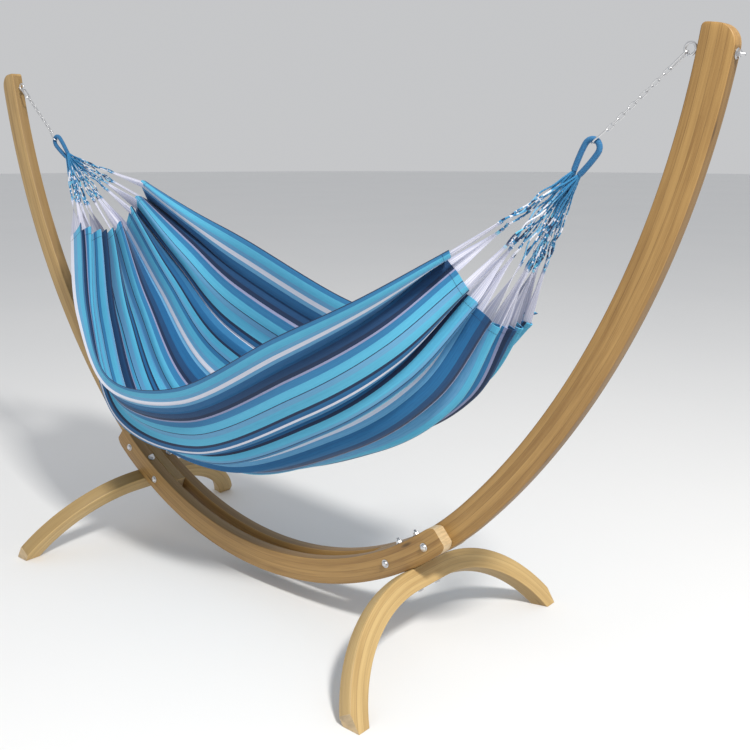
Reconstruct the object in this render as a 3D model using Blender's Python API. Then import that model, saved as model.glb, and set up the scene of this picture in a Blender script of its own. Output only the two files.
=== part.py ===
"""A garden hammock on a laminated wooden stand, modelled as its separate pieces.

Metres, +Z up. The origin is on the floor, midway between the feet. X runs along the stand, from
the left arm to the right arm, and Y runs across it. Every curved wooden piece is a strip bent to
a circular arc, so places on the stand are given as an angle along that arc, measured from its
lowest point, and a depth in from its outer face.
"""

import math

import bmesh
import bpy
from mathutils import Matrix, Vector

# Stand: two arcs that run into each other, bent from strips of the same depth
LOWER_RADIUS = 1.26
UPPER_RADIUS = 2.36
BEND_ANGLE = math.radians(46)
TONGUE_ANGLE = math.radians(25.5)
BEAM_END_ANGLE = math.radians(41)
TIP_ANGLE = math.radians(83)
GROUND_CLEARANCE = 0.062
WOOD_DEPTH = 0.086
WOOD_WIDTH = 0.042
WOOD_CHAMFER = 0.003
TIP_OUTER_ROUND = 0.05
TIP_INNER_ROUND = 0.012
FIT_GAP = 0.0004
RING_STEP = math.radians(2.5)

# Feet: arches square to the beams
FOOT_ANGLE = math.radians(32.5)
FOOT_REACH = 0.49
FOOT_SEAT = 0.07
FOOT_DEPTH = 0.066
FOOT_WIDTH = 0.05
FOOT_TOE = 0.505

# Fasteners
SHANK_RADIUS = 0.004
BORE_RADIUS = 0.0045
NUT_BORE_RADIUS = 0.0049
HEX_RADIUS = 0.0098
JOINT_ANGLES = (math.radians(29), math.radians(37.5))
BEAM_OFFSET = WOOD_WIDTH + FIT_GAP
THREAD_SHOWING = 0.018
HOLLOW_CLEARANCE = 0.0004

# Suspension
EYE_ANGLE = math.radians(81.5)
EYE_STANDOFF = 0.022
EYE_RING = 0.0135
EYE_WIRE = 0.0035
LONG_LINK_WIRE = 0.0025
LONG_LINK_REACH = 0.0563
LONG_LINK_BOW = 0.0085
LINK_COUNT = 11
LINK_WIRE = 0.0016
LINK_REACH = 0.0221
LINK_BOW = 0.005
HOOK_WIRE = 0.00225
HOOK_SMALL_BOW = 0.0055
HOOK_LARGE_BOW = 0.0125
HOOK_TO_ROPE = 0.0120
LOOP_TIP = (1.212, 1.55)
LOOP_ROPE = 0.008
LOOP_BOW = 0.021
LOOP_LENGTH = 0.095
PLAY = 0.0003

# Cloth: three edges of the hanging shape, left hem to right hem, and how far its sides belly out
CLOTH_THICKNESS = 0.006
CLOTH_NEAR = (
    (-0.90, -0.13, 1.22),
    (-0.75, -0.22, 0.93),
    (-0.50, -0.30, 0.725),
    (-0.05, -0.345, 0.775),
    (0.42, -0.36, 1.005),
    (0.72, -0.33, 1.155),
    (0.93, -0.24, 1.29),
)
CLOTH_KEEL = (
    (-0.90, 0.02, 1.19),
    (-0.78, 0.00, 0.88),
    (-0.52, -0.03, 0.54),
    (0.00, -0.03, 0.435),
    (0.50, 0.00, 0.60),
    (0.78, 0.02, 0.80),
    (0.93, 0.00, 1.05),
)
CLOTH_FAR = (
    (-0.90, 0.21, 1.37),
    (-0.66, 0.27, 1.26),
    (-0.40, 0.30, 1.168),
    (0.09, 0.30, 1.00),
    (0.45, 0.28, 0.95),
    (0.72, 0.25, 0.985),
    (0.93, 0.20, 1.07),
)
BELLY_AT_HEM = 0.015
BELLY_ADDED = 0.065
CLOTH_STEPS_LONG = 24
CLOTH_STEPS_ROUND = 12
CORD_COUNT = 9
CORD_RADIUS = 0.004
CORD_GAP = 0.0075
NECK_RADIUS = 0.014

ACROSS = Vector((0, 1, 0))
SIDES = {"right": 1, "left": -1}


# --- Materials ---------------------------------------------------------------------------------


def material(name, colour, roughness, metallic=0.0):
    made = bpy.data.materials.new(name)
    made.use_nodes = True
    shader = made.node_tree.nodes["Principled BSDF"]
    shader.inputs["Base Color"].default_value = (*colour, 1)
    shader.inputs["Roughness"].default_value = roughness
    shader.inputs["Metallic"].default_value = metallic
    return made


LARCH = ((0.50, 0.31, 0.13), 0.45)
STEEL = ((0.60, 0.61, 0.63), 0.28, 1.0)
WOVEN = ((0.05, 0.36, 0.62), 0.85)
WHIPPING = ((0.01, 0.22, 0.52), 0.75)
CORD = ((0.72, 0.76, 0.86), 0.85)


# --- Making solids -----------------------------------------------------------------------------


def node(name, mesh, finish, location=(0, 0, 0), smooth=False):
    piece = bpy.data.objects.new(name, mesh)
    bpy.context.scene.collection.objects.link(piece)
    piece.location = location
    mesh.materials.append(material(name + "_finish", *finish))
    if smooth:
        mesh.shade_smooth()
        mesh.set_sharp_from_angle(angle=math.radians(40))
    return piece


def loft(name, rings, closed=False, cuts=()):
    """One closed body through rings of points. Each cut is a plane, as (point, kept direction)."""
    mesh = bpy.data.meshes.new(name)
    body = bmesh.new()
    rows = [[body.verts.new(point) for point in ring] for ring in rings]
    neighbours = list(zip(rows, rows[1:]))
    if closed:
        neighbours.append((rows[-1], rows[0]))
    for row, next_row in neighbours:
        for i in range(len(row)):
            j = (i + 1) % len(row)
            body.faces.new((row[i], row[j], next_row[j], next_row[i]))
    if not closed:
        body.faces.new(rows[0][::-1])
        body.faces.new(rows[-1])
    for point, kept in cuts:
        everything = body.verts[:] + body.edges[:] + body.faces[:]
        bmesh.ops.bisect_plane(body, geom=everything, plane_co=point, plane_no=kept, clear_inner=True)
        open_edges = [edge for edge in body.edges if edge.is_boundary]
        bmesh.ops.holes_fill(body, edges=open_edges, sides=0)
    bmesh.ops.recalc_face_normals(body, faces=body.faces[:])
    body.to_mesh(mesh)
    body.free()
    return mesh


def chamfered(width, depth_from, depth_to, chamfer=WOOD_CHAMFER):
    """The eight corners of a strip's section, as (across, depth)."""
    half = width / 2
    return (
        (-half + chamfer, depth_from),
        (half - chamfer, depth_from),
        (half, depth_from + chamfer),
        (half, depth_to - chamfer),
        (half - chamfer, depth_to),
        (-half + chamfer, depth_to),
        (-half, depth_to - chamfer),
        (-half, depth_from + chamfer),
    )


def round_ring(radius, height, corners=8):
    """A ring of points about Z."""
    points = []
    for k in range(corners):
        turn = 2 * math.pi * k / corners
        points.append(Vector((radius * math.cos(turn), radius * math.sin(turn), height)))
    return points


def wire(name, path, radius, sides=5, closed=False, normal=ACROSS):
    """A round wire along a path. The path is nearly flat, and normal points out of its plane."""
    path = [Vector(point) for point in path]
    rings = []
    for k, point in enumerate(path):
        before = path[k - 1] if closed or k > 0 else point
        after = path[(k + 1) % len(path)] if closed or k < len(path) - 1 else point
        ahead = (after - before).normalized()
        aside = ahead.cross(normal).normalized()
        upright = aside.cross(ahead)
        ring = []
        for corner in range(sides):
            turn = 2 * math.pi * corner / sides
            ring.append(point + radius * (math.cos(turn) * aside + math.sin(turn) * upright))
        rings.append(ring)
    return loft(name, rings, closed=closed)


def cut_bore(piece, name, start, end, radius=BORE_RADIUS):
    """A round hole from start to end, cut by a hidden cylinder."""
    start, end = Vector(start), Vector(end)
    turn = (end - start).to_track_quat("Z", "Y").to_matrix().to_4x4()
    length = (end - start).length
    rings = [round_ring(radius, 0.0), round_ring(radius, length)]
    mesh = loft(name, [[Matrix.Translation(start) @ turn @ p for p in ring] for ring in rings])
    cutter = bpy.data.objects.new(name, mesh)
    bpy.context.scene.collection.objects.link(cutter)
    cutter.hide_render = True
    cutter.display_type = "WIRE"
    bore = piece.modifiers.new(name, "BOOLEAN")
    bore.operation = "DIFFERENCE"
    bore.solver = "EXACT"
    bore.object = cutter


# --- The stand's arc ---------------------------------------------------------------------------


def arc_point(angle, depth):
    """X and Z at an angle along the stand and a depth in from its outer face."""
    turn = abs(angle)
    upper = turn > BEND_ANGLE
    radius = UPPER_RADIUS if upper else LOWER_RADIUS
    shift = LOWER_RADIUS - UPPER_RADIUS if upper else 0.0
    x = shift * math.sin(BEND_ANGLE) + (radius - depth) * math.sin(turn)
    centre = GROUND_CLEARANCE + LOWER_RADIUS - shift * math.cos(BEND_ANGLE)
    return math.copysign(x, angle), centre - (radius - depth) * math.cos(turn)


def arc_frame(angle, across=0.0):
    """A frame on the outer face: Z points into the curve, X along it and Y across the stand."""
    x, z = arc_point(angle, 0.0)
    inward = Vector((-math.sin(angle), 0, math.cos(angle)))
    frame = Matrix((ACROSS.cross(inward), ACROSS, inward)).transposed().to_4x4()
    frame.translation = (x, across, z)
    return frame


def angles_between(start, end):
    steps = max(1, round(abs(end - start) / RING_STEP))
    return [start + (end - start) * k / steps for k in range(steps + 1)]


def strip_ring(angle, across, depth_from=0.0, depth_to=WOOD_DEPTH):
    ring = []
    for y, depth in chamfered(WOOD_WIDTH, depth_from, depth_to):
        x, z = arc_point(angle, depth)
        ring.append(Vector((x, across + y, z)))
    return ring


def rounding(distance, radius):
    """How far a rounded corner has cut in, at a distance back from the end."""
    if distance >= radius:
        return 0.0
    return radius - math.sqrt(radius**2 - (radius - distance) ** 2)


def add_arm(name, side):
    angles = angles_between(TONGUE_ANGLE, BEND_ANGLE)
    last = TIP_ANGLE - TIP_OUTER_ROUND / UPPER_RADIUS
    angles += angles_between(BEND_ANGLE + 0.001, last)
    rings = [strip_ring(side * angle, 0.0) for angle in angles]
    for share in (0.7, 0.45, 0.25, 0.1, 0.0):
        back = TIP_OUTER_ROUND * share
        outer = rounding(back, TIP_OUTER_ROUND)
        inner = WOOD_DEPTH - rounding(back, TIP_INNER_ROUND)
        rings.append(strip_ring(side * (TIP_ANGLE - back / UPPER_RADIUS), 0.0, outer, inner))
    return node(name, loft(name, rings), LARCH)


def add_middle_beam(name, across):
    """A beam between the arms. Its ends are rounded off in side view."""
    rings = []
    reach = WOOD_DEPTH / 2
    body_end = BEAM_END_ANGLE - reach / LOWER_RADIUS
    ends = [(body_end + reach * share / LOWER_RADIUS, share) for share in (0.45, 0.8, 0.96)]
    for angle, share in reversed(ends):
        inset = 0.5 * reach * (1 - math.sqrt(1 - share**2))
        rings.append(strip_ring(-angle, across, inset, WOOD_DEPTH - inset))
    rings += [strip_ring(angle, across) for angle in angles_between(-body_end, body_end)]
    for angle, share in ends:
        inset = 0.5 * reach * (1 - math.sqrt(1 - share**2))
        rings.append(strip_ring(angle, across, inset, WOOD_DEPTH - inset))
    return node(name, loft(name, rings), LARCH)


# --- Feet --------------------------------------------------------------------------------------

FOOT_MIDDLE = FIT_GAP * 2 + FOOT_DEPTH / 2
FLOOR_BELOW = arc_point(FOOT_ANGLE, 0.0)[1] / math.cos(FOOT_ANGLE)
FOOT_DROP = FLOOR_BELOW - FOOT_MIDDLE
FOOT_RUN = FOOT_REACH - FOOT_SEAT
FOOT_RADIUS = (FOOT_RUN**2 + FOOT_DROP**2) / (2 * FOOT_DROP)


def add_foot(name, side):
    """An arch square to the beams: flat where they sit on it, and cut level with the floor."""
    frame = arc_frame(side * FOOT_ANGLE)
    sweep = math.asin(FOOT_RUN / FOOT_RADIUS) + math.radians(9)
    stations = [(FOOT_SEAT + FOOT_RADIUS * math.sin(sweep * k / 8), sweep * k / 8) for k in range(9)]
    stations = [(-y, -turn) for y, turn in reversed(stations)] + stations
    rings = []
    for y, turn in stations:
        fall = FOOT_MIDDLE + FOOT_RADIUS * (1 - math.cos(turn))
        ring = []
        for x, depth in chamfered(FOOT_WIDTH, -FOOT_DEPTH / 2, FOOT_DEPTH / 2):
            place = (x, y + depth * math.sin(turn), -fall + depth * math.cos(turn))
            ring.append(frame @ Vector(place))
        rings.append(ring)
    cuts = [((0, 0, 0), (0, 0, 1))]
    cuts += [((0, toe, 0), (0, -toe, 0)) for toe in (-FOOT_TOE, FOOT_TOE)]
    return node(name, loft(name, rings, cuts=cuts), LARCH)


# --- Fasteners ---------------------------------------------------------------------------------


def add_turned(name, profile, frame, finish=STEEL, corners=8, bored=False):
    """A turned piece from (radius, height) pairs. A bored one closes on itself round its hole."""
    rings = [[frame @ p for p in round_ring(radius, height, corners)] for radius, height in profile]
    return node(name, loft(name, rings, closed=bored), finish)


def add_nut(name, frame, corners=6):
    """A flanged nut. It sits on the frame's XY plane and its bore clears the shank."""
    profile = (
        (NUT_BORE_RADIUS, PLAY),
        (0.0125, PLAY),
        (0.0125, PLAY + 0.0018),
        (HEX_RADIUS, PLAY + 0.0022),
        (HEX_RADIUS, 0.0095),
        (NUT_BORE_RADIUS, 0.0095),
    )
    return add_turned(name, profile, frame, corners=corners, bored=True)


def add_joint_bolt(name, angle):
    """A domed bolt across the stand, with its head on the front beam."""
    front = -(BEAM_OFFSET + WOOD_WIDTH / 2)
    x, z = arc_point(angle, WOOD_DEPTH / 2)
    frame = Matrix.Translation((x, front, z)) @ Matrix.Rotation(math.radians(90), 4, "X")
    far_end = -(2 * abs(front) + THREAD_SHOWING)
    profile = (
        (SHANK_RADIUS, far_end),
        (SHANK_RADIUS, PLAY),
        (0.0135, PLAY),
        (0.0135, 0.0022),
        (0.0105, 0.0024),
        (0.0095, 0.0070),
        (0.0055, 0.0100),
    )
    return add_turned(name, profile, frame)


def add_joint_nut(name, angle):
    back = BEAM_OFFSET + WOOD_WIDTH / 2
    x, z = arc_point(angle, WOOD_DEPTH / 2)
    frame = Matrix.Translation((x, back, z)) @ Matrix.Rotation(math.radians(-90), 4, "X")
    return add_nut(name, frame)


def add_foot_bolt(name, angle, across):
    """A hexagon bolt from under the foot, up through the foot and one middle beam."""
    frame = arc_frame(angle, across)
    seat = -(2 * FIT_GAP + FOOT_DEPTH + PLAY)
    profile = (
        (HEX_RADIUS, seat - 0.0075),
        (HEX_RADIUS, seat - 0.0022),
        (0.0125, seat - 0.0018),
        (0.0125, seat),
        (SHANK_RADIUS, seat),
        (SHANK_RADIUS, WOOD_DEPTH + THREAD_SHOWING),
    )
    return add_turned(name, profile, frame, corners=6)


def add_foot_nut(name, angle, across):
    """It sits on the beam's hollow inner face, so it stands clear of that face's curve."""
    seat = WOOD_DEPTH + HOLLOW_CLEARANCE
    return add_nut(name, arc_frame(angle, across) @ Matrix.Translation((0, 0, seat)))


def add_eye_bolt(name, angle):
    """A ring on a threaded shank: the shank runs out through the arm."""
    frame = arc_frame(angle)
    centre = frame @ Vector((0, 0, WOOD_DEPTH + EYE_STANDOFF))
    circle = []
    for k in range(16):
        turn = 2 * math.pi * (k + 0.5) / 16
        circle.append(centre + EYE_RING * Vector((math.cos(turn), 0, math.sin(turn))))
    ring = node(name, wire(name, circle, EYE_WIRE, sides=8, closed=True), STEEL, smooth=True)
    shank_name = name + "_shank"
    top = WOOD_DEPTH + EYE_STANDOFF - EYE_RING
    rings = [round_ring(SHANK_RADIUS, -0.02), round_ring(SHANK_RADIUS, top)]
    mesh = loft(shank_name, [[frame @ p for p in ring_points] for ring_points in rings])
    shank = bpy.data.objects.new(shank_name, mesh)
    bpy.context.scene.collection.objects.link(shank)
    shank.hide_render = True
    shank.display_type = "WIRE"
    weld = ring.modifiers.new("Weld shank", "BOOLEAN")
    weld.operation = "UNION"
    weld.solver = "EXACT"
    weld.object = shank
    return ring


# --- Suspension --------------------------------------------------------------------------------


def suspension(side):
    """Where the chain starts, its direction, and its length down to the rope loop."""
    frame = arc_frame(side * EYE_ANGLE)
    centre = frame @ Vector((0, 0, WOOD_DEPTH + EYE_STANDOFF))
    target = Vector((side * LOOP_TIP[0], 0, LOOP_TIP[1]))
    along = (target - centre).normalized()
    start = centre + EYE_RING * along
    return start, along, (target - start).length


def stadium(start, along, reach, bow, plane_normal, points=5):
    """A chain link's centre line: two half circles joined by straight sides."""
    aside = along.cross(plane_normal).normalized()
    path = []
    for end, sign in ((0.0, -1), (reach, 1)):
        centre = start + along * (end + bow if sign < 0 else end - bow)
        for k in range(points):
            turn = math.pi * (k / (points - 1) - 0.5) * sign
            path.append(centre + bow * (sign * math.cos(turn) * along + math.sin(turn) * aside))
    return path


def add_chain(word, side):
    start, along, length = suspension(side)
    flat = along.cross(ACROSS).normalized()
    place = -(EYE_WIRE + LONG_LINK_WIRE + PLAY)
    path = stadium(start + along * place, along, LONG_LINK_REACH, LONG_LINK_BOW, flat, points=7)
    name = "long_link_" + word
    pieces = [node(name, wire(name, path, LONG_LINK_WIRE, 6, True, flat), STEEL, smooth=True)]
    place += LONG_LINK_REACH - (LONG_LINK_WIRE + LINK_WIRE + PLAY)
    for k in range(LINK_COUNT):
        normal = ACROSS if k % 2 == 0 else flat
        path = stadium(start + along * place, along, LINK_REACH, LINK_BOW, normal)
        name = f"chain_link_{word}_{k + 1:02d}"
        pieces.append(node(name, wire(name, path, LINK_WIRE, 5, True, normal), STEEL, smooth=True))
        place += LINK_REACH - (2 * LINK_WIRE + PLAY)
    place += PLAY + LINK_WIRE - (HOOK_WIRE + PLAY)
    foot = length + HOOK_TO_ROPE
    pieces.append(add_hook("s_hook_" + word, start, along, place, foot, flat))
    return pieces


def add_hook(name, start, along, top, foot, flat):
    """An S bent from one rod: a small bow closed on the last link, a large one under the loop."""
    small = start + along * (top + HOOK_SMALL_BOW)
    large = start + along * (foot - HOOK_LARGE_BOW)
    path = []
    for degrees in (-35, 0, 30, 60, 90, 120, 150, 180):
        turn = math.radians(degrees)
        path.append(small + HOOK_SMALL_BOW * (math.cos(turn) * ACROSS - math.sin(turn) * along))
    for degrees in (180, 150, 120, 90, 60, 30, 0, -25):
        turn = math.radians(degrees)
        path.append(large + HOOK_LARGE_BOW * (math.cos(turn) * ACROSS + math.sin(turn) * along))
    return node(name, wire(name, path, HOOK_WIRE, 6, False, flat), STEEL, smooth=True)


# --- Hammock -----------------------------------------------------------------------------------


def add_loop(name, side):
    """The whipped rope eye: a narrow U whose two legs come together at the cords' neck."""
    start, along, length = suspension(side)
    tip = start + along * length
    down = hang_direction(side)
    aside = down.cross(ACROSS)
    path = []
    legs = LOOP_LENGTH - LOOP_BOW
    for share in (1.0, 0.8, 0.55, 0.25):
        width = LOOP_BOW - (LOOP_BOW - LOOP_ROPE - 0.0012) * share**1.5
        path.append(tip + down * (LOOP_BOW + legs * share) + aside * width)
    for k in range(7):
        turn = math.pi * k / 6
        path.append(tip + LOOP_BOW * (down * (1 - math.sin(turn)) + aside * math.cos(turn)))
    for share in (0.25, 0.55, 0.8, 1.0):
        width = LOOP_BOW - (LOOP_BOW - LOOP_ROPE - 0.0012) * share**1.5
        path.append(tip + down * (LOOP_BOW + legs * share) - aside * width)
    return node(name, wire(name, path, LOOP_ROPE, 8, False, ACROSS), WHIPPING, smooth=True)


def hem_middle(side):
    return (cloth_point(0.5 + side * 0.5, 0.25) + cloth_point(0.5 + side * 0.5, 0.75)) / 2


def hang_direction(side):
    """The loop and the cords pull in line, from the hook to the middle of the hem."""
    start, along, length = suspension(side)
    return (hem_middle(side) - (start + along * length)).normalized()


def smooth_between(points, share):
    """A point on the smooth curve through the given points."""
    last = len(points) - 1
    place = min(max(share, 0.0), 1.0) * last
    i = min(int(place), last - 1)
    t = place - i
    b, c = Vector(points[i]), Vector(points[i + 1])
    a = Vector(points[i - 1]) if i > 0 else 2 * b - c
    d = Vector(points[i + 2]) if i + 2 <= last else 2 * c - b
    return 0.5 * (2 * b + (c - a) * t + (2 * a - 5 * b + 4 * c - d) * t**2 + (3 * b - a - 3 * c + d) * t**3)


def cloth_point(along, around):
    """The hanging cloth: along runs from the left hem to the right, around from near to far edge."""
    near = smooth_between(CLOTH_NEAR, along)
    keel = smooth_between(CLOTH_KEEL, along)
    far = smooth_between(CLOTH_FAR, along)
    belly = BELLY_AT_HEM + BELLY_ADDED * math.sin(math.pi * along)
    near_side = (near + keel) / 2 + Vector((0, -belly, -0.9 * belly))
    far_side = (far + keel) / 2 + Vector((0, belly, -0.9 * belly))
    return smooth_between((near, near_side, keel, far_side, far), around)


def cloth_normal(along, around):
    step = 0.004
    a, b = max(along - step, 0), min(along + step, 1)
    c, d = max(around - step, 0), min(around + step, 1)
    lengthways = cloth_point(b, around) - cloth_point(a, around)
    crossways = cloth_point(along, d) - cloth_point(along, c)
    return lengthways.cross(crossways).normalized()


def add_cloth():
    """The woven sheet as a thin open trough, of even thickness."""
    rings = []
    for i in range(CLOTH_STEPS_LONG + 1):
        along = i / CLOTH_STEPS_LONG
        upper, lower = [], []
        for j in range(CLOTH_STEPS_ROUND + 1):
            around = j / CLOTH_STEPS_ROUND
            point = cloth_point(along, around)
            lift = cloth_normal(along, around) * CLOTH_THICKNESS / 2
            upper.append(point + lift)
            lower.append(point - lift)
        rings.append(upper + lower[::-1])
    return node("hammock_cloth", loft("hammock_cloth", rings), WOVEN, smooth=True)


def add_cords(name, side):
    """The suspension cords of one end: straight from the neck below the loop to the hem."""
    start, along, length = suspension(side)
    down = hang_direction(side)
    neck = start + along * length + down * (LOOP_LENGTH + LOOP_ROPE * 0.3)
    turn = down.to_track_quat("Z", "Y").to_matrix().to_4x4()
    profile = ((NECK_RADIUS, 0.0), (NECK_RADIUS, 0.022))
    rings = [[Matrix.Translation(neck) @ turn @ p for p in round_ring(r, h)] for r, h in profile]
    body = node(name, loft(name, rings), CORD)
    for k in range(CORD_COUNT):
        around = 0.02 + 0.96 * k / (CORD_COUNT - 1)
        hem = cloth_point(0.5 + side * 0.5, around)
        inside = neck + down * 0.011
        towards = (hem - inside).normalized()
        path = [inside, hem - towards * CORD_GAP]
        cord_name = f"{name}_{k + 1}"
        normal = towards.orthogonal().normalized()
        cord = bpy.data.objects.new(cord_name, wire(cord_name, path, CORD_RADIUS, 5, False, normal))
        bpy.context.scene.collection.objects.link(cord)
        cord.hide_render = True
        cord.display_type = "WIRE"
        joined = body.modifiers.new(cord_name, "BOOLEAN")
        joined.operation = "UNION"
        joined.solver = "EXACT"
        joined.object = cord
    return body


# --- Assembly ----------------------------------------------------------------------------------

for leftover in list(bpy.data.objects):
    bpy.data.objects.remove(leftover, do_unlink=True)

beams = {
    "middle_beam_front": (add_middle_beam("middle_beam_front", -BEAM_OFFSET), -BEAM_OFFSET),
    "middle_beam_rear": (add_middle_beam("middle_beam_rear", BEAM_OFFSET), BEAM_OFFSET),
}
for word, side in SIDES.items():
    arm = add_arm("arm_" + word, side)
    foot = add_foot("foot_" + word, side)

    for number, joint_angle in enumerate(JOINT_ANGLES, start=1):
        angle = side * joint_angle
        x, z = arc_point(angle, WOOD_DEPTH / 2)
        for piece in (arm, beams["middle_beam_front"][0], beams["middle_beam_rear"][0]):
            cut_bore(piece, f"bore_{piece.name}_{word}_{number}", (x, -0.08, z), (x, 0.08, z))
        add_joint_bolt(f"joint_bolt_{word}_{number}", angle)
        add_joint_nut(f"joint_nut_{word}_{number}", angle)

    for beam, across in beams.values():
        end = "front" if across < 0 else "rear"
        frame = arc_frame(side * FOOT_ANGLE, across)
        below, above = frame @ Vector((0, 0, -0.1)), frame @ Vector((0, 0, 0.12))
        for piece in (foot, beam):
            cut_bore(piece, f"foot_bore_{piece.name}_{word}_{end}", below, above)
        add_foot_bolt(f"foot_bolt_{word}_{end}", side * FOOT_ANGLE, across)
        add_foot_nut(f"foot_nut_{word}_{end}", side * FOOT_ANGLE, across)

    frame = arc_frame(side * EYE_ANGLE)
    cut_bore(arm, "eye_bore_" + word, frame @ Vector((0, 0, -0.03)), frame @ Vector((0, 0, 0.12)))
    add_eye_bolt("eye_bolt_" + word, side * EYE_ANGLE)
    add_nut("eye_nut_" + word, frame @ Matrix.Rotation(math.pi, 4, "X"))

    add_chain(word, side)
    add_loop("rope_loop_" + word, side)
    add_cords("suspension_cords_" + word, side)
add_cloth()
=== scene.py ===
# %% [markdown]
# # A garden hammock on its curved wooden stand
# The stand is bent from thin layers of larch, glued into arcs. Two arms rise from a pair of
# middle beams, two arched feet cross under the beams, and a striped cloth hangs between the arms
# from chains, hooks and fans of cord. This file makes the surfaces that are seen, at the places
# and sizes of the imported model.

# %% Load the frame
import math
import random

import bmesh
import bpy
import numpy as np
from mathutils import Matrix, Vector


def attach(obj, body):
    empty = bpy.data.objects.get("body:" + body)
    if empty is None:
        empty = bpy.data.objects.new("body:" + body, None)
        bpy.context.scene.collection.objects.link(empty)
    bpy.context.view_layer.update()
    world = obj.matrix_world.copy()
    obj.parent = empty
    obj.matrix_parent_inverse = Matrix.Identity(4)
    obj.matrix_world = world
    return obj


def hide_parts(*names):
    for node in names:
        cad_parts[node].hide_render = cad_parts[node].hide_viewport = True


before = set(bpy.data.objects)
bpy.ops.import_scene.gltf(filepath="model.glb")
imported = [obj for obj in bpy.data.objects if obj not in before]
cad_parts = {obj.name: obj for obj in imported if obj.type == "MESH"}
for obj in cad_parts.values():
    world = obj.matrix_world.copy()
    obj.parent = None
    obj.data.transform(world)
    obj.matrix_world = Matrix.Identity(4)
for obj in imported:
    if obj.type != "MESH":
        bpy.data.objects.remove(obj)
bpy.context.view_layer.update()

# %% [markdown]
# ## Camera
# The viewer stands at the right front corner, a little above the arms' middle, and looks down
# along the stand. The lens is a normal one, so the near foot looks clearly larger than the far.

# %% Camera
CAMERA_PLACE = (2.411, -2.2244, 1.565)
CAMERA_TURN = 0.7118
CAMERA_DIP = 0.2422
LENS = 46.8

camera = bpy.data.objects.new("camera", bpy.data.cameras.new("camera"))
bpy.context.scene.collection.objects.link(camera)
camera.location = CAMERA_PLACE
camera.rotation_euler = (math.pi / 2 - CAMERA_DIP, 0, CAMERA_TURN)
camera.data.lens = LENS
bpy.context.scene.camera = camera
print("Camera", round((camera.location - Vector((0, 0, 0.9))).length, 2), "m from the middle")

# %% [markdown]
# ## Floor and light
# A wide pale floor runs out to a pale sky. A strong lamp stands high at the right, where the sun
# would be, so the trough is lit and the stand throws a clear shadow. A weak, broad one opens the
# shadows from the left.

# %% Floor and light
FLOOR_RADIUS = 40.0
KEY_PLACE = (4.9, -1.9, 6.2)
KEY_SIZE = 0.9
KEY_POWER = 520
KEY_COLOUR = (1.0, 0.97, 0.92)
FILL_PLACE = (-4.5, -4.0, 3.2)
FILL_SIZE = 4.0
FILL_POWER = 12
FILL_COLOUR = (0.92, 0.96, 1.0)
LAMP_TARGET = Vector((0, 0, 0.8))
SKY = (0.97, 0.98, 1.0)
SKY_STRENGTH = 0.58

bpy.ops.mesh.primitive_circle_add(vertices=96, radius=FLOOR_RADIUS, fill_type="NGON", location=(0, 0, -0.001))
floor = bpy.context.object
floor.name = "floor"


def add_lamp(name, place, size, power, colour):
    lamp = bpy.data.objects.new(name, bpy.data.lights.new(name, "AREA"))
    bpy.context.scene.collection.objects.link(lamp)
    lamp.location = place
    lamp.rotation_mode = "QUATERNION"
    lamp.rotation_quaternion = (Vector(place) - LAMP_TARGET).to_track_quat("Z", "Y")
    lamp.data.size = size
    lamp.data.energy = power
    lamp.data.color = colour


add_lamp("key", KEY_PLACE, KEY_SIZE, KEY_POWER, KEY_COLOUR)
add_lamp("fill", FILL_PLACE, FILL_SIZE, FILL_POWER, FILL_COLOUR)

sky = bpy.data.worlds.new("sky")
sky.use_nodes = True
sky.node_tree.nodes["Background"].inputs["Color"].default_value = (*SKY, 1)
sky.node_tree.nodes["Background"].inputs["Strength"].default_value = SKY_STRENGTH
bpy.context.scene.world = sky
bpy.context.scene.view_settings.view_transform = "Standard"
print("Two lamps and a pale sky")

# %% [markdown]
# ## Writing shader maths as sums
# A material is a net of nodes. Written as sums it stays readable, so `Term` wraps one socket and
# lets it be added, multiplied and compared, and `Finish` holds one material and adds its nodes.

# %% Term and Finish


class Term:
    """One output of a material's node, written in sums like a number."""

    def __init__(self, finish, socket):
        self.finish = finish
        self.socket = socket

    def sum(self, operation, *values):
        return self.finish.node("ShaderNodeMath", {"operation": operation}, values)

    def apply(self, operation, *values):
        return self.sum(operation, self, *values)

    def __add__(self, other):
        return self.apply("ADD", other)

    __radd__ = __add__

    def __sub__(self, other):
        return self.apply("SUBTRACT", other)

    def __rsub__(self, other):
        return self.sum("SUBTRACT", other, self)

    def __mul__(self, other):
        return self.apply("MULTIPLY", other)

    __rmul__ = __mul__

    def __truediv__(self, other):
        return self.apply("DIVIDE", other)

    def __gt__(self, other):
        return self.apply("GREATER_THAN", other)

    def __lt__(self, other):
        return self.apply("LESS_THAN", other)


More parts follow.
